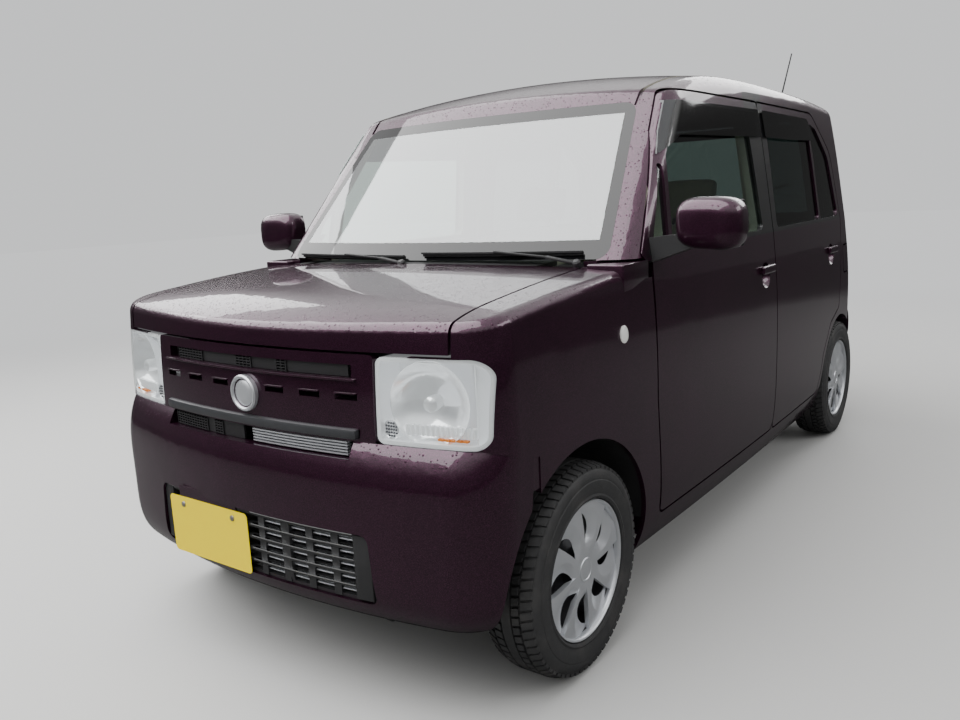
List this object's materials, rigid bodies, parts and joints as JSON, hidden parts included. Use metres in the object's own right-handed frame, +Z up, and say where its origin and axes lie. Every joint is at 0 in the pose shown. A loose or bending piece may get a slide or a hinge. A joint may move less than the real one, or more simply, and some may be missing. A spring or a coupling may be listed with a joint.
{
  "type": "kei car",
  "caption": "Small tall four-door hatchback car that rolls on four wheels, steers, and opens at its doors, bonnet, hatch and fuel lid.",
  "frame": {"origin": "on the ground in the middle of the car's box", "axes": "-Y towards the front, +X towards the car's left side, +Z up"},
  "size_m": [1.914, 3.394, 1.8374],
  "materials": {
    "body_paint": "very dark plum metallic paint, clear-coated",
    "door_paint": "very dark plum metallic paint, clear-coated",
    "underbody": "black underbody coating",
    "black_trim": "grained black plastic",
    "clear_glass": "clear safety glass",
    "lamp_clear": "clear moulded lens",
    "lamp_inside": "bright reflector",
    "lamp_red": "red moulded lens",
    "cabin_trim": "pale greenish-beige moulded trim",
    "seat_cloth": "woven seat cloth",
    "engine_metal": "plain castings",
    "fins": "bare finned core",
    "running_gear": "black painted steel",
    "bare_steel": "dull steel",
    "tank_plastic": "black moulded tank",
    "tyre_rubber": "black rubber",
    "wheel_silver": "silver painted wheel cover over a dark steel wheel",
    "mirror_face": "mirror"
  },
  "bodies": {
    "root": {"side_left": "body_paint", "side_right": "body_paint", "roof": "body_paint", "floor": "underbody", "wings": "body_paint", "front_bumper": "body_paint", "rear_bumper": "body_paint", "grille_panel": "body_paint", "grilles": "black_trim", "lamp_housings": "lamp_inside", "lamp_lenses": "lamp_clear", "tail_lamps": "lamp_red", "windscreen": "clear_glass", "cowl": "black_trim", "dashboard": "cabin_trim", "steering_wheel": "black_trim", "front_seats": "seat_cloth", "rear_seat": "seat_cloth", "engine_block": "engine_metal", "radiator": "fins", "front_frame": "running_gear", "aerial": "black_trim", "front_subframe": "running_gear", "struts": "running_gear", "wheel_liners": "black_trim", "rear_beam": "running_gear", "exhaust": "bare_steel", "fuel_tank": "tank_plastic"},
    "bonnet": {"bonnet": "body_paint"},
    "hatch": {"hatch": "body_paint", "hatch_glass": "clear_glass"},
    "fuel_lid": {"fuel_lid": "body_paint"},
    "knuckle_left": {"knuckle_left": "running_gear"},
    "wheel_front_left": {"tyre_front_left": "tyre_rubber", "wheel_front_left": "wheel_silver"},
    "wheel_rear_left": {"tyre_rear_left": "tyre_rubber", "wheel_rear_left": "wheel_silver"},
    "front_door_left": {"front_door_left": "door_paint", "front_door_glass_left": "clear_glass", "mirror_left": "door_paint", "mirror_glass_left": "mirror_face"},
    "rear_door_left": {"rear_door_left": "door_paint", "rear_door_glass_left": "clear_glass"},
    "knuckle_right": {"knuckle_right": "running_gear"},
    "wheel_front_right": {"tyre_front_right": "tyre_rubber", "wheel_front_right": "wheel_silver"},
    "wheel_rear_right": {"tyre_rear_right": "tyre_rubber", "wheel_rear_right": "wheel_silver"},
    "front_door_right": {"front_door_right": "door_paint", "front_door_glass_right": "clear_glass", "mirror_right": "door_paint", "mirror_glass_right": "mirror_face"},
    "rear_door_right": {"rear_door_right": "door_paint", "rear_door_glass_right": "clear_glass"}
  },
  "joints": [
    {"name": "steer_left", "type": "hinge", "parent": "root", "child": "knuckle_left", "pos_m": [0.608, -1.1975, 0.165], "axis": [-0.2419, 0, 0.9703], "range_deg": [-33, 33]},
    {"name": "steer_right", "type": "hinge", "parent": "root", "child": "knuckle_right", "pos_m": [-0.608, -1.1975, 0.165], "axis": [0.2419, 0, 0.9703], "range_deg": [-33, 33]},
    {"name": "spin_front_left", "type": "hinge", "parent": "knuckle_left", "child": "wheel_front_left", "pos_m": [0.645, -1.1975, 0.2785], "axis": [1, 0, 0], "continuous": true},
    {"name": "spin_rear_left", "type": "hinge", "parent": "root", "child": "wheel_rear_left", "pos_m": [0.645, 1.2925, 0.2785], "axis": [1, 0, 0], "continuous": true},
    {"name": "spin_front_right", "type": "hinge", "parent": "knuckle_right", "child": "wheel_front_right", "pos_m": [-0.645, -1.1975, 0.2785], "axis": [1, 0, 0], "continuous": true},
    {"name": "spin_rear_right", "type": "hinge", "parent": "root", "child": "wheel_rear_right", "pos_m": [-0.645, 1.2925, 0.2785], "axis": [1, 0, 0], "continuous": true},
    {"name": "front_door_left_hinge", "type": "hinge", "parent": "root", "child": "front_door_left", "pos_m": [0.68849, -0.8655, 0.615], "axis": [0, 0, -1], "range_deg": [0, 68]},
    {"name": "rear_door_left_hinge", "type": "hinge", "parent": "root", "child": "rear_door_left", "pos_m": [0.72034, 0.3055, 0.615], "axis": [0, 0, -1], "range_deg": [0, 80]},
    {"name": "front_door_right_hinge", "type": "hinge", "parent": "root", "child": "front_door_right", "pos_m": [-0.68849, -0.8655, 0.615], "axis": [0, 0, 1], "range_deg": [0, 68]},
    {"name": "rear_door_right_hinge", "type": "hinge", "parent": "root", "child": "rear_door_right", "pos_m": [-0.72034, 0.3055, 0.615], "axis": [0, 0, 1], "range_deg": [0, 80]},
    {"name": "bonnet_hinge", "type": "hinge", "parent": "root", "child": "bonnet", "pos_m": [0, -0.9, 1.008], "axis": [-1, 0, 0], "range_deg": [0, 50]},
    {"name": "hatch_hinge", "type": "hinge", "parent": "root", "child": "hatch", "pos_m": [0, 1.541, 1.55], "axis": [1, 0, 0], "range_deg": [0, 85]},
    {"name": "fuel_lid_hinge", "type": "hinge", "parent": "root", "child": "fuel_lid", "pos_m": [0.69656, 1.312, 0.852], "axis": [0, 0, -1], "range_deg": [0, 100]}
  ],
  "couplings": [
    {"joint": "steer_right", "follows": "steer_left", "ratio": 1}
  ]
}
